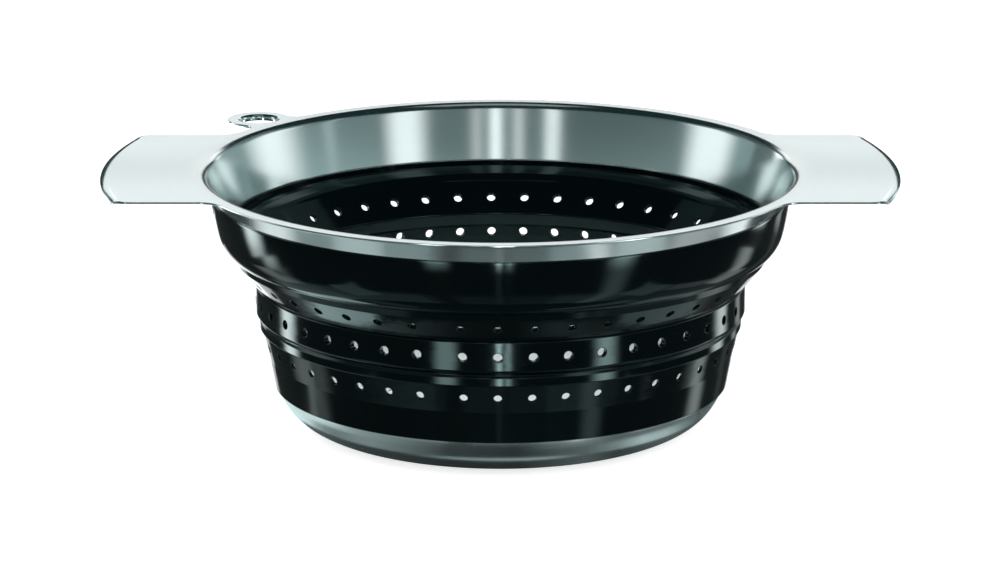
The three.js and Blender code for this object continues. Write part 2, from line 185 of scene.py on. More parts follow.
def rim_outline():
    """Points round the rim's edge: x, y, the way out of the sheet, how far the edge is rolled, and
    how much of that is the wide roll of a handle's end."""
    reach = FLANGE + HANDLE_REACH
    root_x = math.sqrt((FLANGE + HANDLE_ROOT) ** 2 - (HANDLE_HALF + HANDLE_ROOT) ** 2)
    root_turn = math.atan2(HANDLE_HALF + HANDLE_ROOT, root_x)
    end_x = reach - HANDLE_END
    inner_half = HANDLE_HALF - HANDLE_CORNER
    corner_x = end_x + math.sqrt((HANDLE_END - HANDLE_CORNER) ** 2 - inner_half ** 2)
    corner_turn = math.atan2(inner_half, corner_x - end_x)
    to_eye, to_root, span = FLANGE + EYE_REACH, FLANGE + EYE_ROOT, EYE_LOBE + EYE_ROOT
    eye_spread = math.acos((to_eye ** 2 + to_root ** 2 - span ** 2) / (2 * to_eye * to_root))
    eye_x, eye_y = to_eye * math.cos(EYE_AT), to_eye * math.sin(EYE_AT)
    points = []

    def arc(x, y, radius, start, stop, steps, side, rolls, ends=(0, 0)):
        for i in range(steps):
            t = i / steps
            a = start + (stop - start) * t
            c, s = math.cos(a), math.sin(a)
            roll, end = (low + (high - low) * t * t * (3 - 2 * t) for low, high in (rolls, ends))
            points.append((x + radius * c, y + radius * s, side * c, side * s, roll, end))

    def straight(start, stop, out, steps):
        for i in range(steps):
            t = i / steps
            points.append((*(p + (q - p) * t for p, q in zip(start, stop)), *out, 1, 0))

    def handle(spin):
        c, s = math.cos(spin), math.sin(spin)
        quarter = math.pi / 2

        def place(x, y):
            return x * c - y * s, x * s + y * c

        arc(*place(root_x, -HANDLE_HALF - HANDLE_ROOT), HANDLE_ROOT,
            spin + math.pi - root_turn, spin + quarter, 20, -1, (0, 1))
        straight(place(root_x, -HANDLE_HALF), place(corner_x, -HANDLE_HALF), (s, -c), 12)
        arc(*place(corner_x, -inner_half), HANDLE_CORNER,
            spin - quarter, spin - corner_turn, 24, 1, (1, 1), (0, 1))
        arc(*place(end_x, 0), HANDLE_END, spin - corner_turn, spin + corner_turn, 60, 1, (1, 1), (1, 1))
        arc(*place(corner_x, inner_half), HANDLE_CORNER,
            spin + corner_turn, spin + quarter, 24, 1, (1, 1), (1, 0))
        straight(place(corner_x, HANDLE_HALF), place(root_x, HANDLE_HALF), (-s, c), 12)
        arc(*place(root_x, HANDLE_HALF + HANDLE_ROOT), HANDLE_ROOT,
            spin - quarter, spin - math.pi + root_turn, 20, -1, (1, 0))

    def flange(start, stop):
        arc(0, 0, FLANGE, start, stop, round(math.degrees(stop - start)), 1, (0, 0))

    eye_start, eye_stop = EYE_AT - eye_spread, EYE_AT + eye_spread
    root_in = to_root * math.cos(eye_start), to_root * math.sin(eye_start)
    root_out = to_root * math.cos(eye_stop), to_root * math.sin(eye_stop)
    lobe_start = math.atan2(root_in[1] - eye_y, root_in[0] - eye_x)
    lobe_stop = math.atan2(root_out[1] - eye_y, root_out[0] - eye_x) + 2 * math.pi
    handle(0)
    flange(root_turn, eye_start)
    arc(*root_in, EYE_ROOT, eye_start + math.pi, lobe_start + math.pi, 12, -1, (0, 0))
    arc(eye_x, eye_y, EYE_LOBE, lobe_start, lobe_stop, 48, 1, (0, 0))
    arc(*root_out, EYE_ROOT, lobe_stop - math.pi, eye_stop - math.pi, 12, -1, (0, 0))
    flange(eye_stop, math.pi - root_turn)
    handle(math.pi)
    flange(math.pi + root_turn, 2 * math.pi - root_turn)
    return points, (eye_x, eye_y)


rim_points, eye_centre = rim_outline()


def rolled(depth, turned, out=0.0, further=0.0):
    """One ring of the sheet's edge: depth in the sheet, share of the turn, bulge, inset."""
    ring = []
    for x, y, nx, ny, roll, end in rim_points:
        bend = FLANGE_ROLL + (SIDE_ROLL + (END_ROLL - SIDE_ROLL) * end - FLANGE_ROLL) * roll
        whole = FLANGE_TURN + (SIDE_TURN + (END_TURN - SIDE_TURN) * end - FLANGE_TURN) * roll
        a = whole * turned
        inset = bend * math.sin(whole) - (bend - depth) * math.sin(a)
        inset += (CUT_EDGE - out) * math.cos(whole) + further
        height = RIM_TOP - bend + (bend - depth) * math.cos(a) - out * math.sin(whole)
        ring.append((x - nx * inset, y - ny * inset, height))
    return ring


rim_skin = Skin()
edge_rings = [rim_skin.ring(rolled(SHEET, 0, further=GUARD))]
edge_rings += [rim_skin.ring(rolled(SHEET, k / ROLL_STEPS)) for k in range(ROLL_STEPS + 1)]
for share in EDGE_SHARES:
    bulge = CUT_EDGE * math.sqrt(1 - share * share)
    edge_rings.append(rim_skin.ring(rolled(SHEET / 2 + share * SHEET / 2, 1, out=bulge)))
edge_rings += [rim_skin.ring(rolled(0, k / ROLL_STEPS)) for k in range(ROLL_STEPS, -1, -1)]
edge_rings.append(rim_skin.ring(rolled(0, 0, further=GUARD)))
rim_skin.join_all(edge_rings)

bend_centre = (OPENING + WALL_BEND * math.cos(WALL_LEAN), RIM_TOP - WALL_BEND)
wall_top = (OPENING, RIM_TOP - WALL_BEND * (1 - math.sin(WALL_LEAN)))
half_wall = math.dist(wall_top, WALL_FOOT) / 2
wall_pull = (wall_top[0] - half_wall * math.sin(WALL_LEAN), wall_top[1] - half_wall * math.cos(WALL_LEAN))
wall_line = sag(wall_top, wall_pull, WALL_FOOT, 24)
wall_path = bow(bend_centre, WALL_BEND, math.pi / 2, math.pi - WALL_LEAN, 14)[:-1] + wall_line


def down_and_back(path, centre=(0, 0), angles=ROUND):
    """A sheet that turns down from the flat: its face, its cut edge and its back, as rings."""
    back = beside(path, SHEET)
    foot, heel = np.array(path[-1]), np.array(back[-1])
    along = np.subtract(path[-1], path[-2])
    along = along / np.linalg.norm(along)
    line = [(path[0][0] + GUARD, path[0][1]), *path[:-1], tuple(foot - CUT_EDGE * along)]
    for share in EDGE_SHARES[::-1]:
        bulge = CUT_EDGE * (math.sqrt(1 - share * share) - 1)
        line.append(tuple((foot + heel) / 2 + (heel - foot) / 2 * share + bulge * along))
    line += [tuple(heel - CUT_EDGE * along), *back[-2::-1], (back[0][0] + GUARD, back[0][1])]
    rings = [rim_skin.ring(hoop(r, z, angles, centre)) for r, z in line]
    rim_skin.join_all(rings)
    return rings[0], rings[-1]


wall_brink, wall_root = down_and_back(wall_path)
eye_bend_centre = (EYE_HOLE + EYE_BEND, RIM_TOP - EYE_BEND)
eye_path = bow(eye_bend_centre, EYE_BEND, math.pi / 2, math.pi, 8)
eye_path += [(EYE_HOLE, RIM_TOP - EYE_COLLAR + 0.4), (EYE_HOLE, RIM_TOP - EYE_COLLAR)]
eye_brink, eye_root = down_and_back(eye_path, eye_centre, ROUND[::6])
rim_skin.flat(edge_rings[-1], [wall_brink, eye_brink], up=True)
rim_skin.flat(edge_rings[0], [wall_root, eye_root], up=False)


def node(owner, kind, *inputs, **settings):
    """A shader node of a material or world, with inputs of (its name, a value or another's output)."""
    made = owner.node_tree.nodes.new(kind)
    for key, value in settings.items():
        setattr(made, key, value)
    for name, source in inputs:
        if isinstance(source, bpy.types.NodeSocket):
            owner.node_tree.links.new(source, made.inputs[name])
        else:
            made.inputs[name].default_value = source
    return made


def stainless(name, polish, satin, satin_from, lines):
    """Stainless sheet, ground in rings round the axis and satin from between two radii outwards.
    Out on the flat, a painted sheen darkens the colour along the middle of each handle and lightens it away
    from there."""
    material = bpy.data.materials.new(name)
    material.use_nodes = True
    shader = material.node_tree.nodes["Principled BSDF"]
    link = material.node_tree.links.new
    where = node(material, "ShaderNodeTexCoord").outputs["Object"]
    parts = node(material, "ShaderNodeSeparateXYZ", ("Vector", where))
    planar = node(material, "ShaderNodeCombineXYZ", ("X", parts.outputs["X"]), ("Y", parts.outputs["Y"]))
    radius = node(material, "ShaderNodeVectorMath", (0, planar.outputs["Vector"]), operation="LENGTH")
    ringed = node(material, "ShaderNodeCombineXYZ",
                  ("X", radius.outputs["Value"]), ("Y", parts.outputs["Z"]))
    rings = node(material, "ShaderNodeTexNoise", ("Vector", ringed.outputs["Vector"]),
                 ("Scale", lines), ("Detail", 6.0), ("Roughness", 0.7))
    cloud = node(material, "ShaderNodeTexNoise", ("Vector", where), ("Scale", 38.0), ("Detail", 5.0))
    grit = node(material, "ShaderNodeTexNoise", ("Vector", where), ("Scale", 2600.0), ("Detail", 3.0))
    flatness = node(material, "ShaderNodeMapRange", ("Value", radius.outputs["Value"]),
                    ("From Min", satin_from[0] * MM), ("From Max", satin_from[1] * MM),
                    ("To Min", polish), ("To Max", satin), interpolation_type="SMOOTHSTEP")
    uneven = node(material, "ShaderNodeMapRange", ("Value", cloud.outputs["Fac"]),
                  ("From Min", 0.3), ("From Max", 0.7), ("To Min", 0.9), ("To Max", 1.12))
    rough = node(material, "ShaderNodeMath", (0, flatness.outputs["Result"]),
                 (1, uneven.outputs["Result"]), operation="MULTIPLY")
    tone = node(material, "ShaderNodeMix", ("Factor", rings.outputs["Fac"]), data_type="RGBA")
    tone.inputs[6].default_value = (0.69, 0.76, 0.76, 1)
    tone.inputs[7].default_value = (0.81, 0.88, 0.88, 1)
    # Painted sheen: the colour is darker along each handle's middle and lighter off to its sides and on the
    # rest of the flange.
    aside = node(material, "ShaderNodeMath", (0, parts.outputs["Y"]), operation="ABSOLUTE")
    painted_sheen_share = node(material, "ShaderNodeMapRange", ("Value", aside.outputs["Value"]),
                  ("From Min", PAINTED_SHEEN_ACROSS[0] * MM), ("From Max", PAINTED_SHEEN_ACROSS[1] * MM),
                  interpolation_type="SMOOTHSTEP")
    sheen = node(material, "ShaderNodeMix", ("Factor", painted_sheen_share.outputs["Result"]), data_type="RGBA")
    sheen.inputs[6].default_value = (0.84, 0.895, 0.905, 1)
    sheen.inputs[7].default_value = (1.01, 1.05, 1.06, 1)
    on_handle = node(material, "ShaderNodeMapRange", ("Value", radius.outputs["Value"]),
                     ("From Min", FLAT_FROM[0] * MM), ("From Max", FLAT_FROM[1] * MM),
                     interpolation_type="SMOOTHSTEP")
    colour = node(material, "ShaderNodeMix", ("Factor", on_handle.outputs["Result"]),
                  data_type="RGBA", blend_type="MULTIPLY")
    link(tone.outputs[2], colour.inputs[6])
    link(sheen.outputs[2], colour.inputs[7])
    relief = node(material, "ShaderNodeMix", ("Factor", 0.35), data_type="FLOAT")
    link(rings.outputs["Fac"], relief.inputs[2])
    link(grit.outputs["Fac"], relief.inputs[3])
    bump = node(material, "ShaderNodeBump", ("Height", relief.outputs[0]),
                ("Strength", 0.12), ("Distance", 0.00004))
    around = node(material, "ShaderNodeTangent", direction_type="RADIAL", axis="Z")
    link(colour.outputs[2], shader.inputs["Base Color"])
    link(rough.outputs["Value"], shader.inputs["Roughness"])
    link(bump.outputs["Normal"], shader.inputs["Normal"])
    link(around.outputs["Tangent"], shader.inputs["Tangent"])
    shader.inputs["Metallic"].default_value = 1
    shader.inputs["Anisotropic"].default_value = 0.6
    shader.inputs["Anisotropic Rotation"].default_value = 0.25
    return material


rim_steel = stainless("rim_stainless", polish=0.15, satin=0.12, satin_from=FLAT_FROM, lines=2600.0)
rim = rim_skin.piece("rim_stamping", rim_steel)
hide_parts("steel_rim")
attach(rim, "rim")


# The collar is the top of the silicone body, moulded round the steel wall and bonded to it. It is
# flush with the wall inside, leaves a 9 mm band of steel bare outside, and turns in at a
# rounded shoulder that ends in a sharp edge over the first fold.
ROUND_REACH = 0.48
ROUND_STEP = math.radians(11)
LONG_FLAT = 0.9
FLAT_END = 0.15
BOND = 0.04
COLLAR_TOP = 96.4
COLLAR_EDGE = 0.3
UPPER_HINGE = 73.4
SHOULDER = (112.25, 74.4)
BULGE = (116.5, 82.3)

# The whole moulding has its points round the axis where its rows of drain holes need them: each
# hole stands in a cell of its own, and one gap in each row is wider than the rest.
HOLES = 45
WIDE_GAP = math.radians(10.4)
WIDE_GAP_AT = math.radians(-103.7)
PITCH = (2 * math.pi - WIDE_GAP) / (HOLES - 1)
FIRST_HOLE = WIDE_GAP_AT + WIDE_GAP / 2
CELL = 8
CELL_HEIGHT = 8
hole_turns = [FIRST_HOLE + PITCH * i for i in range(HOLES)]
cell_turns = [FIRST_HOLE - WIDE_GAP / 2] + [turn + PITCH / 2 for turn in hole_turns[:-1]]
cell_turns.append(cell_turns[0] + 2 * math.pi)
MOULDED = []
for i in range(HOLES):
    for start, stop in ((cell_turns[i], hole_turns[i]), (hole_turns[i], cell_turns[i + 1])):
        MOULDED += [start + (stop - start) * k / (CELL // 2) for k in range(CELL // 2)]


def cross(a, b):
    """How far b is turned from a, to the left, times both lengths."""
    return float(a[0] * b[1] - a[1] * b[0])


def soften(corners):
    """A closed section from corners (radius, height, rounding), counter-clockwise."""
    line = []
    for i, (r, z, rounding) in enumerate(corners):
        here = np.array((r, z))
        if not rounding:
            line.append((r, z))
            continue
        back = np.array(corners[i - 1][:2]) - here
        on = np.array(corners[(i + 1) % len(corners)][:2]) - here
        back_length, on_length = np.linalg.norm(back), np.linalg.norm(on)
        back, on = back / back_length, on / on_length
        half = math.acos(max(-1, min(1, float(back @ on)))) / 2
        reach = min(rounding / math.tan(half), ROUND_REACH * back_length, ROUND_REACH * on_length)
        steps = max(2, math.ceil((math.pi - 2 * half) / ROUND_STEP))
        middle = here + (back + on) / np.linalg.norm(back + on) * reach / math.cos(half)
        start, stop = here + back * reach - middle, here + on * reach - middle
        sweep = math.atan2(cross(start, stop), float(start @ stop))
        for k in range(steps + 1):
            a = sweep * k / steps
            c, s = math.cos(a), math.sin(a)
            line.append((middle[0] + start[0] * c - start[1] * s, middle[1] + start[0] * s + start[1] * c))
    return line


def guarded(line):
    """The section with a point close to each end of its long flats, so the flats are shaded flat."""
    kept = []
    for here, after in zip(line, line[1:] + line[:1]):
        kept.append(tuple(here))
        size = math.dist(here, after)
        if size > LONG_FLAT:
            near = FLAT_END / size
            for share in (near, 1 - near):
                kept.append(tuple(p + (q - p) * share for p, q in zip(here, after)))
    return kept


def black_silicone():
    """Glossy black silicone: faint flow marks and dust in its sheen, and a fine skin from the mould."""
    material = bpy.data.materials.new("black_silicone")
    material.use_nodes = True
    shader = material.node_tree.nodes["Principled BSDF"]
    link = material.node_tree.links.new
    where = node(material, "ShaderNodeTexCoord").outputs["Object"]
    cloud = node(material, "ShaderNodeTexNoise", ("Vector", where), ("Scale", 24.0), ("Detail", 6.0))
    skin = node(material, "ShaderNodeTexNoise", ("Vector", where), ("Scale", 1500.0), ("Detail", 4.0))
    swell = node(material, "ShaderNodeTexNoise", ("Vector", where), ("Scale", 60.0), ("Detail", 2.0))
    tone = node(material, "ShaderNodeMix", ("Factor", cloud.outputs["Fac"]), data_type="RGBA")
    tone.inputs[6].default_value = (0.0004, 0.0014, 0.002, 1)
    tone.inputs[7].default_value = (0.0012, 0.0032, 0.0038, 1)
    rough = node(material, "ShaderNodeMapRange", ("Value", cloud.outputs["Fac"]),
                 ("From Min", 0.3), ("From Max", 0.7), ("To Min", 0.065), ("To Max", 0.11))
    fine = node(material, "ShaderNodeBump", ("Height", skin.outputs["Fac"]),
                ("Strength", 0.08), ("Distance", 0.00005))
    bump = node(material, "ShaderNodeBump", ("Height", swell.outputs["Fac"]),
                ("Strength", 0.15), ("Distance", 0.0003), ("Normal", fine.outputs["Normal"]))
    link(tone.outputs[2], shader.inputs["Base Color"])
    link(rough.outputs["Result"], shader.inputs["Roughness"])
    link(bump.outputs["Normal"], shader.inputs["Normal"])
    shader.inputs["Specular IOR Level"].default_value = 0.5
    shader.inputs["Specular Tint"].default_value = (0.7, 1, 1, 1)
    return material


silicone = black_silicone()
wall_back = beside(wall_line, SHEET + BOND)
collar_seat = [p for p in wall_back if WALL_FOOT[1] + 0.4 < p[1] < COLLAR_TOP - 0.2]
collar_line = [(111, UPPER_HINGE), (111.85, 74.12), (112.02, 74.24)]
collar_line += sag(SHOULDER, (115.45, 77.2), BULGE, 12)
collar_line += sag(BULGE, (117.92, 89.0), (118.42, COLLAR_TOP - COLLAR_EDGE), 18)[1:-1]
collar_line += bow((118.12, COLLAR_TOP - COLLAR_EDGE), COLLAR_EDGE, 0, math.pi / 2, 4)
collar_line += [(collar_seat[0][0] + 0.09, COLLAR_TOP), *collar_seat, (wall_back[-1][0], WALL_FOOT[1] - BOND)]
collar_line += [(112.6, WALL_FOOT[1] - BOND), (112.5, 81.65)]
collar_line += sag((112.3, 79.6), (111.7, 75.6), (109, UPPER_HINGE), 8)
collar_skin = Skin()
collar_skin.join_all([collar_skin.ring(hoop(r, z, MOULDED)) for r, z in guarded(collar_line)], closed=True)
collar = collar_skin.piece("collar", silicone)
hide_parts("silicone_collar")
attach(collar, "rim")


# The upper fold is the conical wall that turns inside out when the bowl is pressed flat. It runs
# from a thin hinge under the collar to a groove above the middle band, and the first row of
# drain holes is moulded through it.
HOLE = 1.8
HOLE_LIP = 0.25
HOLE_MARGIN = 0.1
LIP_STEPS = 4
WINDOW = 2.3
UPPER_FOOT = 59.7


def pierced(name, line, centre, lean, size=HOLE):
    """A moulded wall with a row of round holes, square to a wall that leans out by an angle. Where
    the holes' line crosses the section, outside and inside, a strip that reaches a window up and
    down is divided into cells. Each cell closes in on its hole, and a throat joins the two mouths."""
    axis = np.array((math.cos(lean), -math.sin(lean)))
    line = guarded(line)
    crossings = []
    for i, (start, stop) in enumerate(zip(line, line[1:] + line[:1])):
        start, along = np.array(start), np.subtract(stop, start)
        area = cross(along, axis)
        if abs(area) < 1e-9:
            continue
        share = cross(np.subtract(centre, start), axis) / area
        if 0 <= share < 1:
            crossings.append((i, start + along * share, along / np.linalg.norm(along)))
    cut_line, windows = [], []
    for i, point in enumerate(line):
        cut_line.append(point)
        for edge, hit, along in crossings:
            if edge == i:
                windows.append((len(cut_line), hit, along))
                cut_line += [tuple(hit - WINDOW * along), tuple(hit + WINDOW * along)]
    skin = Skin()
    rings = [skin.ring(hoop(r, z, MOULDED)) for r, z in cut_line]
    opened = [start for start, _, _ in windows]
    for k in range(len(rings)):
        if k not in opened:
            skin.join(rings[k], rings[(k + 1) % len(rings)])
    throats = []
    for start, hit, along in windows:
        below, above = rings[start], rings[start + 1]
        out = np.array((along[1], -along[0]))
        sides = []
        for turn in cell_turns[:-1]:
            column = []
            for k in range(1, CELL_HEIGHT):
                r, z = hit + along * WINDOW * (2 * k / CELL_HEIGHT - 1)
                column.append((r * math.cos(turn), r * math.sin(turn), z))
            sides.append(skin.ring(column))
        mouths = []
        for i, turn in enumerate(hole_turns):
            first, beyond = i * CELL, (i + 1) % HOLES
            border = [below[(first + k) % len(below)] for k in range(CELL + 1)]
            border += sides[beyond]
            border += [above[(first + k) % len(above)] for k in range(CELL, -1, -1)]
            border += sides[i][::-1]
            left, right = turn - cell_turns[i], cell_turns[i + 1] - turn
            border_uv, angles = [], []
            across = [-left + left * k / (CELL // 2) for k in range(CELL // 2)]
            across += [right * k / (CELL // 2) for k in range(CELL // 2 + 1)]
            heights = [WINDOW * (2 * k / CELL_HEIGHT - 1) for k in range(CELL_HEIGHT + 1)]
            places = [(a, heights[0]) for a in across] + [(across[-1], v) for v in heights[1:-1]]
            places += [(a, heights[-1]) for a in across[::-1]] + [(across[0], v) for v in heights[-2:0:-1]]
            for a, v in places:
                border_uv.append((a * (hit[0] + v * along[0]), v))
                angles.append(math.atan2(v / WINDOW, a / (right if a > 0 else left)))

            def loop(radius, depth, blend=1.0):
                ring = []
                for (fu, fv), a in zip(border_uv, angles):
                    u = fu + (radius * math.cos(a) - fu) * blend
                    v = fv + (radius * math.sin(a) - fv) * blend
                    r, z = hit + v * along - depth * out
                    ring.append((r * math.cos(turn + u / r), r * math.sin(turn + u / r), z))
                return skin.ring(ring)

            brim = size + HOLE_LIP
            steps = [border, loop(brim + HOLE_MARGIN, 0, 0.6), loop(brim + HOLE_MARGIN, 0), loop(brim, 0)]
            for k in range(1, LIP_STEPS + 1):
                a = k * math.pi / 2 / LIP_STEPS
                steps.append(loop(brim - HOLE_LIP * math.sin(a), HOLE_LIP * (1 - math.cos(a))))
            skin.join_all(steps)
            mouths.append(steps[-1])
        throats.append(mouths)
    around = 2 * CELL + 2 * CELL_HEIGHT
    for near, far in zip(*throats):
        turned = [far[(2 * CELL + CELL_HEIGHT - j) % around] for j in range(around)]
        skin.join(near, turned)
    return skin.piece(name, silicone)


upper_section = soften([
    (100.6, UPPER_FOOT, 0), (102.4, 61.85, 0.9), (109.7, 70.6, 0.45), (111, UPPER_HINGE, 0),
    (109, UPPER_HINGE, 0), (99, 61.2, 1.2), (99, UPPER_FOOT, 0)])
upper_lean = math.atan((109.7 - 102.5) / (70.6 - 61.95))
upper_fold = pierced("upper_fold", upper_section, (105.0, 66.6), upper_lean)
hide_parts("upper_fold_wall")
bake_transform(upper_fold)


# The middle band is the stiff ring between the two folds. It is upright, with the second row of
# holes, and is rounded off at its foot over a groove and a thin lip.
LOWER_HINGE = 40.9
middle_section = soften([
    (99.5, LOWER_HINGE, 0.6), (99.5, 44.5, 0.7), (98.8, 45.6, 0.3), (101, 47.4, 1.4),
    (101, UPPER_FOOT, 0.6), (99, UPPER_FOOT, 0), (99, 56.1, 0.3), (98.5, 56.1, 0.3),
    (98.2, 47.9, 1), (98.2, LOWER_HINGE, 0)])
middle = pierced("middle_band_moulded", middle_section, (100.0, 53.3), 0.0)
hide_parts("middle_band")
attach(middle, "middle")


# The lower fold is the steeper conical wall, with the third row of holes. It turns inside out
# like the upper one, between the lip above it and the lower band.
LOWER_FOOT = 29.4
LOWER_HOLE = 1.6
lower_section = [(96.2, LOWER_FOOT), (98.9, LOWER_HINGE), (97.5, LOWER_HINGE), (94.8, LOWER_FOOT)]
lower_lean = math.atan((98.9 - 96.2) / (LOWER_HINGE - LOWER_FOOT))
lower_fold = pierced("lower_fold", lower_section, (97.0, 35.8), lower_lean, size=LOWER_HOLE)
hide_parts("lower_fold_wall")
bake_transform(lower_fold)


# The lower band is the foot of the silicone body, moulded round the wall of the dish and bonded
# to it, with a square edge where the bare steel starts.
DISH_NECK = (92.6, 16.3)
DISH_TOP = (93.5, 26.0)
band_section = soften([
    (DISH_NECK[0] + BOND, DISH_NECK[1], 0), (93.8, DISH_NECK[1], 0.4), (96.2, LOWER_FOOT, 0),
    (94.8, LOWER_FOOT, 0), (94.8, 28.9, 0.3), (92.7, 26.4, 0.4), (92.7, 26.05, 0),
    (DISH_TOP[0] + BOND, 26.05, 0)])
band_skin = Skin()
band_skin.join_all([band_skin.ring(hoop(r, z, MOULDED)) for r, z in guarded(band_section)], closed=True)
band = band_skin.piece("lower_band_moulded", silicone)
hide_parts("lower_band")
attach(band, "base")


# The dish is the stainless bottom: pressed from sheet with a raised floor, punched with drain
# holes in rings, a standing ring, a round knee and a wall that is held inside the silicone.
FLOOR_RISE = 1.8
FLOOR_FLAT = 60
FLOOR_HOLE = 2.2
FLOOR_LIP = 0.25
FLOOR_PITCH = 13
FLOOR_RINGS = 5
RING_EDGE = (71.4, 0)
TOP_ROUND = 0.15
TOP_SLANT = 0.02
dish_out = soften([
    (FLOOR_FLAT, FLOOR_RISE, 0), (63, FLOOR_RISE, 2), (66, 0, 2), (*RING_EDGE, 0), (RING_EDGE[0], 1, 0)])[:-2]
dish_out += swoop(RING_EDGE, (87.1, 0), (91.35, 12.6), DISH_NECK, 30)
dish_out += [tuple((low + high) / 2 for low, high in zip(DISH_NECK, DISH_TOP)), DISH_TOP]
dish_in = beside(dish_out, SHEET)
dish_skin = Skin()
(out_r, top_z), in_r = DISH_TOP, dish_in[-1][0]
dish_line = [*dish_out[:-1], (out_r - TOP_SLANT, top_z - TOP_ROUND), (out_r - TOP_ROUND, top_z)]
dish_line += [(in_r + TOP_ROUND, top_z), (in_r + TOP_SLANT, top_z - TOP_ROUND), *dish_in[-2::-1]]
dish_rings = [dish_skin.ring(hoop(r, z)) for r, z in dish_line]
dish_skin.join_all(dish_rings)
under_holes, upper_holes = [], []
for count in range(FLOOR_RINGS):
    in_ring = max(1, 6 * count)
    for k in range(in_ring):
        turn = 2 * math.pi * k / in_ring
        spot = (FLOOR_PITCH * count * math.cos(turn), FLOOR_PITCH * count * math.sin(turn))
        lines = [(FLOOR_HOLE + FLOOR_LIP + HOLE_MARGIN, FLOOR_RISE)]
        lines += [(FLOOR_HOLE + FLOOR_LIP * (1 - math.sin(a)), FLOOR_RISE + FLOOR_LIP * (1 - math.cos(a)))
                  for a in (0, math.pi / 6, math.pi / 3, math.pi / 2)]
        lines += [(r, 2 * FLOOR_RISE + SHEET - z) for r, z in lines[::-1]]
        tube = [dish_skin.ring(hoop(r, z, ROUND[::15], spot)) for r, z in lines]
        dish_skin.join_all(tube[::-1])
        under_holes.append(tube[0])
        upper_holes.append(tube[-1])
dish_skin.flat(dish_rings[0], under_holes, up=False)
dish_skin.flat(dish_rings[-1], upper_holes, up=True)
dish_steel = stainless("dish_stainless", polish=0.2, satin=0.17, satin_from=(70, 84), lines=4200.0)
dish_shader = dish_steel.node_tree.nodes["Principled BSDF"]

# The pan is blasted to a dull satin inside. Its faces look up, which tells them from the knee.
facing = node(dish_steel, "ShaderNodeSeparateXYZ",
              ("Vector", node(dish_steel, "ShaderNodeTexCoord").outputs["Normal"]))
pan = node(dish_steel, "ShaderNodeMapRange", ("Value", facing.outputs["Z"]), ("From Min", 0.05),
           ("From Max", 0.22), interpolation_type="SMOOTHSTEP")
blasted = node(dish_steel, "ShaderNodeMapRange", ("Value", pan.outputs["Result"]),
               ("To Min", 1.0), ("To Max", 0.2))
ground = dish_shader.inputs["Roughness"].links[0].from_socket
dull = node(dish_steel, "ShaderNodeMath", (0, pan.outputs["Result"]), (1, 0.25), (2, ground),
            operation="MULTIPLY_ADD")
dish_steel.node_tree.links.new(dull.outputs["Value"], dish_shader.inputs["Roughness"])
dish_steel.node_tree.links.new(blasted.outputs["Result"], dish_shader.inputs["Metallic"])
dish = dish_skin.piece("dish", dish_steel)
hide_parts("base_dish")
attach(dish, "base")


# The studio: a pale floor under a white surround, with tall soft lamps in front and at both sides.
# Reflections alone show the dark drapes, ceiling and pit round the bowl, and the soft boxes that
# stand among them, which reach below the level of the floor as they do round a raised set.
FLOOR_HALF = 6
FLOOR_DROP = 0.0003
TABLE_DROP = 0.0005
DRAPES_AT = 3.2
BOXES_AT = 3.0
CEILING = 2.8
PATCHES = -2
PIT = -5.2
LOW_FADE = (-1.45, -0.95)
RANGE = ("From Min", "From Max", "To Min", "To Max")
DRAPE = (0.137, 0.185, 0.185)
DARK = (0.03, 0.05, 0.05)
DIM = (0.012, 0.026, 0.028)
scene = bpy.context.scene


def ray_share(owner):
    """1 for what the camera sees, directly or in metal and through openings, and 0 for the rest."""
    path = node(owner, "ShaderNodeLightPath")
    total = path.outputs["Is Camera Ray"]
    for kind in ("Is Glossy Ray", "Is Transmission Ray"):
        both = node(owner, "ShaderNodeMath", (0, total), (1, path.outputs[kind]), operation="MAXIMUM")
        total = both.outputs["Value"]
    return total


world = bpy.data.worlds.new("studio_surround")
scene.world = world
world.use_nodes = True
sky = world.node_tree.nodes["Background"]
sky.inputs["Color"].default_value = (1, 1, 1, 1)
surround = node(world, "ShaderNodeMapRange", ("Value", ray_share(world)), ("To Min", 0.55), ("To Max", 1.0))
world.node_tree.links.new(surround.outputs["Result"], sky.inputs["Strength"])

floor_mesh = bpy.data.meshes.new("studio_floor")
floor_mesh.from_pydata([(x * FLOOR_HALF, y * FLOOR_HALF, 0) for x, y in ((-1, -1), (1, -1), (1, 1), (-1, 1))],
                       [], [(0, 1, 2, 3)])
floor = bpy.data.objects.new("studio_floor", floor_mesh)
scene.collection.objects.link(floor)
floor.location.z = -FLOOR_DROP
floor_material = bpy.data.materials.new("studio_floor")
floor_material.use_nodes = True
floor_shader = floor_material.node_tree.nodes["Principled BSDF"]
floor_shader.inputs["Base Color"].default_value = (0.9, 0.9, 0.9, 1)
floor_shader.inputs["Roughness"].default_value = 0.8
floor_shader.inputs["Specular IOR Level"].default_value = 0.1
floor_shader.inputs["Emission Color"].default_value = (1, 1, 1, 1)
glow = node(floor_material, "ShaderNodeMath", (0, ray_share(floor_material)), (1, 0.75), operation="MULTIPLY")
floor_material.node_tree.links.new(glow.outputs["Value"], floor_shader.inputs["Emission Strength"])
floor_mesh.materials.append(floor_material)
floor.visible_glossy = False


def lamp(name, turn, distance, width, low, high, strength):
    """A tall soft lamp, turn degrees round from the front towards the right, facing the bowl."""
    a = math.radians(turn)
    light = bpy.data.lights.new(name, "AREA")
    light.shape = "RECTANGLE"
    light.size = width
    light.size_y = high - low
    light.energy = strength * math.pi * width * (high - low)
    made = bpy.data.objects.new(name, light)
    scene.collection.objects.link(made)
    made.location = (distance * math.sin(a), -distance * math.cos(a), (low + high) / 2)
    made.rotation_euler = Vector((math.sin(a), -math.cos(a), 0)).to_track_quat("Z", "Y").to_euler()
    made.visible_camera = False
    made.visible_glossy = False
    return made


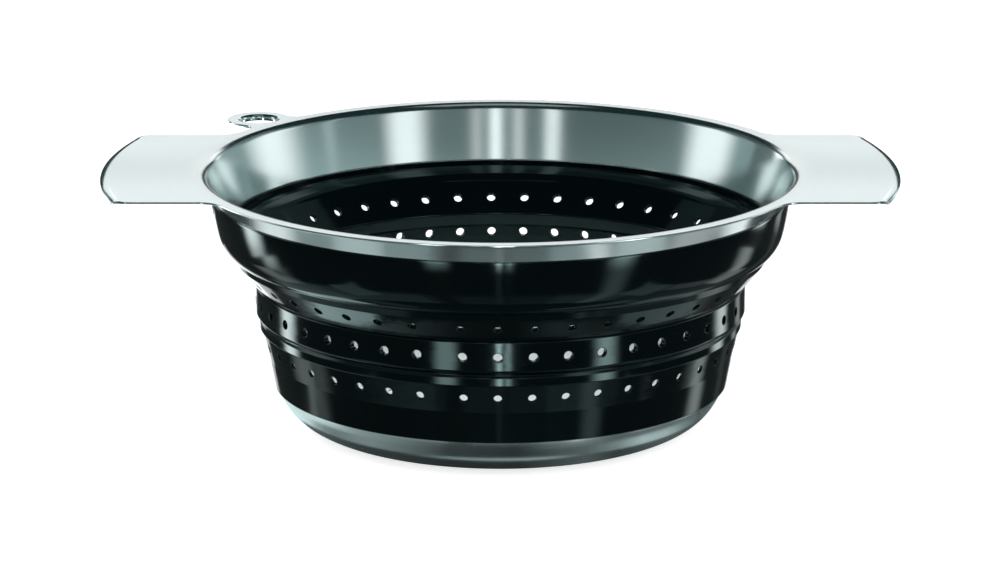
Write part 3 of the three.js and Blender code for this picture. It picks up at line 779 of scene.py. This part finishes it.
lamp("lamp_front", 1, 2.3, 0.3, 0.45, 2.6, 1.6)
lamp("lamp_right_front", 41, 2.0, 0.42, 0.1, 2.4, 1.6)
lamp("lamp_left", -98, 1.8, 0.4, 0.05, 2.2, 1.6)
lamp("lamp_right", 108, 1.8, 0.4, 0.05, 2.2, 1.4)
top = lamp("lamp_top", 0, 0, 1.6, 1.8, 3.0, 0.6)
top.location = (0, 0.2, 2.4)
top.rotation_euler = (0, 0, 0)

# A spot from straight above lights the pan, which shows through the holes in front.
into_bowl = bpy.data.lights.new("lamp_into_bowl", "SPOT")
into_bowl.energy = 95
into_bowl.spot_size = math.radians(9)
into_bowl.spot_blend = 0.5
into_bowl.shadow_soft_size = 0.12
spot = bpy.data.objects.new("lamp_into_bowl", into_bowl)
scene.collection.objects.link(spot)
spot.location = (0, 0, 1.6)
spot.visible_glossy = False


def glowing(name, colour):
    """A material that only glows, with the node of its glow."""
    material = bpy.data.materials.new(name)
    material.use_nodes = True
    material.cycles.emission_sampling = "NONE"
    material.node_tree.nodes.clear()
    return material, node(material, "ShaderNodeEmission", ("Color", (*colour, 1)))


def hang(name, mesh, material, turn=0.0, height=0.0):
    """Puts a mesh into the studio where only reflections show it."""
    mesh.materials.append(material)
    made = bpy.data.objects.new(name, mesh)
    scene.collection.objects.link(made)
    made.rotation_euler = (0, 0, turn)
    made.location.z = height
    made.visible_camera = False
    made.visible_diffuse = False
    made.visible_shadow = False
    made.visible_transmission = False


def card(name, corners, colour, turn=0.0, spread=None, firm=0.3, levels=None):
    """A card seen only in reflections, turned round the bowl from the front towards the right. Where
    it has a spread, in degrees, it fades out towards its sides; levels gives two heights and the
    strengths of its glow there."""
    mesh = bpy.data.meshes.new(name)
    mesh.from_pydata(corners, [], [tuple(range(len(corners)))])
    material, shine = glowing(name, colour)
    where = node(material, "ShaderNodeTexCoord").outputs["Object"]
    parts = node(material, "ShaderNodeSeparateXYZ", ("Vector", where))
    if levels:
        fall = node(material, "ShaderNodeMapRange", ("Value", parts.outputs["Z"]), *zip(RANGE, levels),
                    interpolation_type="SMOOTHSTEP")
        material.node_tree.links.new(fall.outputs["Result"], shine.inputs["Strength"])
    shown = shine.outputs["Emission"]
    if spread:
        aside = node(material, "ShaderNodeMath", (0, parts.outputs["X"]), (1, parts.outputs["Y"]),
                     operation="DIVIDE")
        size = node(material, "ShaderNodeMath", (0, aside.outputs["Value"]), operation="ABSOLUTE")
        edge = math.tan(math.radians(spread))
        fade = node(material, "ShaderNodeMapRange", ("Value", size.outputs["Value"]),
                    *zip(RANGE, (edge * firm, edge, 1, 0)), interpolation_type="SMOOTHSTEP")
        clear = node(material, "ShaderNodeBsdfTransparent")
        shown = node(material, "ShaderNodeMixShader", ("Fac", fade.outputs["Result"]),
                     (1, clear.outputs["BSDF"]), (2, shown)).outputs["Shader"]
    node(material, "ShaderNodeOutputMaterial", ("Surface", shown))
    hang(name, mesh, material, math.pi + math.radians(turn))


def upright(left, right, low, high):
    """Corners of a card that stands between two spots (x, y)."""
    return [(*left, low), (*right, low), (*right, high), (*left, high)]


def level(left, near, right, far, height):
    """Corners of a card that lies level."""
    return [(left, near, height), (right, near, height), (right, far, height), (left, far, height)]


for i, turn in enumerate(range(-160, 161, 10)):
    ends = [(DRAPES_AT * math.sin(math.radians(a)), DRAPES_AT * math.cos(math.radians(a))) for a in (5, -5)]
    shade = 1.25 if 50 < turn < 125 else 0.45 if turn < -120 else 0.8 if -90 < turn < -20 else 1
    if abs(turn) < 155:
        card(f"drape_{i}", upright(*ends, 0, CEILING), [shade * part for part in DRAPE], turn,
             levels=(0.6, 1.6, 1.9, 0.95))
    side = 0.4 if -145 < turn < -95 else 0.3 if -100 < turn < -35 or 20 < turn < 65 else 0.15
    foot = PIT if turn > -155 else -1.0
    card(f"skirt_{i}", upright(*ends, foot, 0), (0.8, 1, 1), turn, levels=(-2.75, -2.2, side, 0.05))
card("ceiling", level(-4, 3.4, 4, -2.6, CEILING), DIM)
card("skylight", level(-0.6, 0.3, 0.6, -1.0, CEILING - 0.01), (0.27, 0.31, 0.31))
card("high_back", upright((-3, -2.6), (3, -2.6), 1.3, CEILING), DIM)
card("low_back", upright((-2.2, -3.0), (2.2, -3.0), -0.72, 0.62), DARK)
card("back_skirt_left", upright((0, -3.0), (2.2, -3.0), PIT, -1.95), DARK)
card("back_skirt_right", upright((-2.2, -3.0), (0, -3.0), PIT, -1.25), DARK)
card("pit", [(-DRAPES_AT * math.sin(a), DRAPES_AT * math.cos(a), PIT) for a in ROUND[::10]],
     (0.025, 0.05, 0.053))


def soft_box(name, turn, spread, strength, firm=0.3, low=0.0, high=2.6, colour=(0.95, 1, 1)):
    """An upright soft box among the drapes, spread degrees to each side of its middle. Its strength
    is one value, two that change over at LOW_FADE, or two heights and the two values there."""
    half = BOXES_AT * math.tan(math.radians(spread))
    levels = (low, high, strength, strength)
    if isinstance(strength, tuple):
        levels = (*LOW_FADE, *strength) if len(strength) == 2 else strength
    card(name, upright((-half, BOXES_AT), (half, BOXES_AT), low, high), colour, turn, spread, firm, levels)


soft_box("box_front", 2, 3.5, 1.5)
soft_box("box_front_left", -8, 3.5, 0.75)
soft_box("box_front_right", 10.5, 3.5, 0.6)
soft_box("box_left_front", -23, 5, 1.1)
soft_box("box_right_front", 42, 13, 1.15, firm=0.2, low=-0.4)
soft_box("box_right_middle", 78, 4, 0.5, colour=(0.8, 1, 1))
soft_box("box_left", -99, 17, 1.15, low=-0.4, high=1.9)
soft_box("box_right", 109, 21, 1.15, firm=0.1, low=-0.4, high=1.9)
soft_box("box_left_back", -146, 6, 1.6, low=-0.45, high=0.75)
soft_box("box_left_far", -164, 4, 1.4, low=0.95, high=1.7)
soft_box("box_right_back", 150, 4, 1.1, low=-0.45, high=0.75)
soft_box("box_right_far", 164, 4, 1.5, low=0.95, high=1.7)
soft_box("low_left", -116, 9, (-1.25, -0.9, 3, 7), 0.1, -1.25, -0.1)
soft_box("low_left_mid", -109, 8, (-1.6, -1.3, 0.5, 3), 0.1, -1.9, -1.25)
soft_box("low_left_back", -168, 8, 2.2, 0.4, -1.4, -0.72)
soft_box("low_left_foot", -114, 18, 0.95, 0.2, -2.5, -1.5)
soft_box("low_left_front", -25, 7, (0.06, 3.6), 0.2, PIT, -0.1)
soft_box("low_front_left", -0.5, 1.6, (0.25, 12), 0.3, PIT, -0.1)
soft_box("low_front_right", 3.6, 1.6, (0.1, 6), 0.3, PIT, -0.1)
soft_box("low_right_front", 49, 8, (0.8, 4.8), 0.1, PIT, -0.1)
soft_box("low_right", 124, 9, (-0.92, -0.78, 0.12, 4), 0.1, -1.12, -0.1)
soft_box("low_right_mid", 119, 9, 1.7, 0.1, -1.7, -1.12)
soft_box("low_right_foot", 122, 16, 1.0, 0.2, -2.6, -1.7)
soft_box("low_right_side", 96, 20, 0.45, 0.4, -2.9, -2.15)
soft_box("low_right_back", 146, 6, (-0.94, -0.78, 0.12, 0.8), 0.2, PIT, -0.1)
card("patch_left", level(0.84, -0.6, 1.26, -2.2, PATCHES), (1.4, 1.8, 1.8))
card("patch_right", level(-1.3, -0.5, -0.86, -2.2, PATCHES), (0.35, 0.45, 0.45))

# A glowing card, seen only in reflections, gives the lit table in front of each handle, as the cut edge of
# the sheet shows it.
for side in (-1, 1):
    card(f"table_glow_by_handle_{side}", level(side * 0.115, 0.11, side * 0.178, 0.155, -0.0004),
         (0.46, 0.54, 0.54))


def pit_wedge(name, turn, spread, inner, outer, strength):
    """A light wedge on the bottom of the pit, spread degrees to each side."""
    slope = math.tan(math.radians(spread))
    height = PIT + 0.01
    corners = [(-inner * slope, inner, height), (inner * slope, inner, height),
               (outer * slope, outer, height), (-outer * slope, outer, height)]
    card(name, corners, (0.9 * strength, strength, strength), turn, spread)


pit_wedge("pit_right", 95, 20, 0.9, 3.0, 0.35)
pit_wedge("pit_left", -98, 20, 1.6, 3.0, 0.2)

# Close to the dish, the table's light and shade as they show in the steel that hangs over it: how
# strongly it glows at turns round from the front, under the dish, beside it and further out.
TURNS = range(-180, 181, 5)
NEAR = [(-150, 0.12), (-110, 0.3), (-85, 0.85), (-80, 0.75), (-74, 0.12), (-45, 0.05), (-15, 0.03),
        (5, 0.03), (25, 0.1), (35, 0.05), (55, 0.1), (85, 0.08), (150, 0.12)]
FAR = [(-150, 0.3), (-95, 0.9), (-72, 0.85), (-63, 0.3), (-54, 0.2), (-42, 0.28), (-15, 0.05),
       (5, 0.03), (25, 0.13), (35, 0.25), (45, 0.55), (55, 0.5), (65, 0.25), (75, 0.12), (150, 0.3)]
OUTER = [(-150, 0.3), (-95, 0.9), (-65, 0.8), (-45, 0.35), (-15, 0.06), (5, 0.03), (22, 0.2),
         (35, 0.12), (60, 0.12), (85, 0.1), (150, 0.3)]
GLINT = [(-30, 0), (-12, 0.3), (0, 0.38), (12, 0.38), (28, 0)]
NO_GLINT = [(0, 0)]
SPANS = [(70, NEAR, NO_GLINT), (86.6, NEAR, NO_GLINT), (87.8, NEAR, GLINT), (88.8, FAR, GLINT),
         (90, FAR, NO_GLINT), (95.5, FAR, NO_GLINT), (98.5, OUTER, NO_GLINT), (103, OUTER, NO_GLINT)]
table_points, table_glow, table_faces = [], [], []
for k, (radius, *glows) in enumerate(SPANS):
    for i, turn in enumerate(TURNS):
        a = math.radians(turn)
        table_points.append((radius * MM * math.sin(a), -radius * MM * math.cos(a), 0))
        table_glow.append(max(float(np.interp(turn, *zip(*line))) for line in glows))
        if k and i:
            last = k * len(TURNS) + i
            table_faces.append((last, last - len(TURNS), last - len(TURNS) - 1, last - 1))
table_mesh = bpy.data.meshes.new("table_shade")
table_mesh.from_pydata(table_points, [], table_faces)
table_mesh.attributes.new("glow", "FLOAT", "POINT").data.foreach_set("value", table_glow)
table_material, table_shine = glowing("table_shade", (0.82, 1, 1))
painted = node(table_material, "ShaderNodeAttribute", attribute_name="glow")
table_material.node_tree.links.new(painted.outputs["Fac"], table_shine.inputs["Strength"])
node(table_material, "ShaderNodeOutputMaterial", ("Surface", table_shine.outputs["Emission"]))
hang("table_shade", table_mesh, table_material, height=-TABLE_DROP)

# The camera stands where the photograph was taken from: 1.76 m away and 15 degrees up.
DISTANCE = 1.7638
RAISED = math.radians(15.13)
AIM = 0.05447
LENS = 153.94
SHIFT = (-0.0003, 0.0033)
camera_data = bpy.data.cameras.new("camera")
camera_data.lens = LENS
camera_data.shift_x, camera_data.shift_y = SHIFT
camera = bpy.data.objects.new("camera", camera_data)
scene.collection.objects.link(camera)
camera.location = (0, -DISTANCE * math.cos(RAISED), AIM + DISTANCE * math.sin(RAISED))
camera.rotation_euler = (math.pi / 2 - RAISED, 0, 0)
scene.camera = camera
scene.view_settings.view_transform = "Standard"
